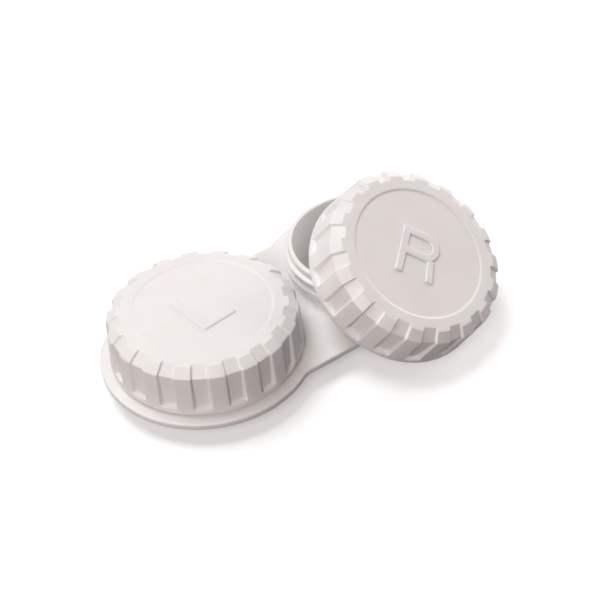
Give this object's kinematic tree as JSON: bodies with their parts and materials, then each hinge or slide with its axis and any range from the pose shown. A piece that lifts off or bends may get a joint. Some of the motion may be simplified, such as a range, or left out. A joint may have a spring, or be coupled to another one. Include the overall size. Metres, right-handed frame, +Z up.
{
  "type": "contact lens case",
  "caption": "Flat lens storage case: a tray with two threaded wells and two fluted screw caps, one screwed home and one off its thread and leaning on its neck.",
  "frame": {"origin": "on the plane that the case rests on, midway between the two well axes", "axes": "+X from the left well to the right well, +Y away from the user, +Z up out of the wells"},
  "size_m": [0.0698, 0.0458, 0.0246],
  "materials": {
    "case_plastic": "white satin polypropylene, very slightly warm",
    "liner": "smooth off-white soft sealing foam"
  },
  "bodies": {
    "tray": {"case_tray": "case_plastic"},
    "left_seal": {"left_cap_liner": "liner"},
    "left_lid": {"left_cap": "case_plastic"},
    "right_seal": {"right_cap_liner": "liner"},
    "right_lid": {"right_cap": "case_plastic"}
  },
  "joints": [
    {"name": "left_lift", "type": "slide", "parent": "tray", "child": "left_seal", "axis": [0, 0, 1], "range_m": [0, 0.008]},
    {"name": "left_turn", "type": "hinge", "parent": "left_seal", "child": "left_lid", "pos_m": [-0.0167, 0, 0.0046], "axis": [0, 0, 1], "range_deg": [0, 1440]},
    {"name": "right_lift", "type": "slide", "parent": "tray", "child": "right_seal", "axis": [0.1389, -0.5528, 0.8217], "range_m": [0, 0.02]},
    {"name": "right_turn", "type": "hinge", "parent": "right_seal", "child": "right_lid", "pos_m": [0.01599, -0.01021, 0.00936], "axis": [0.1389, -0.5528, 0.8217], "continuous": true}
  ],
  "couplings": [
    {"joint": "left_lift", "follows": "left_turn", "m_per_rad": 0.00031831}
  ]
}
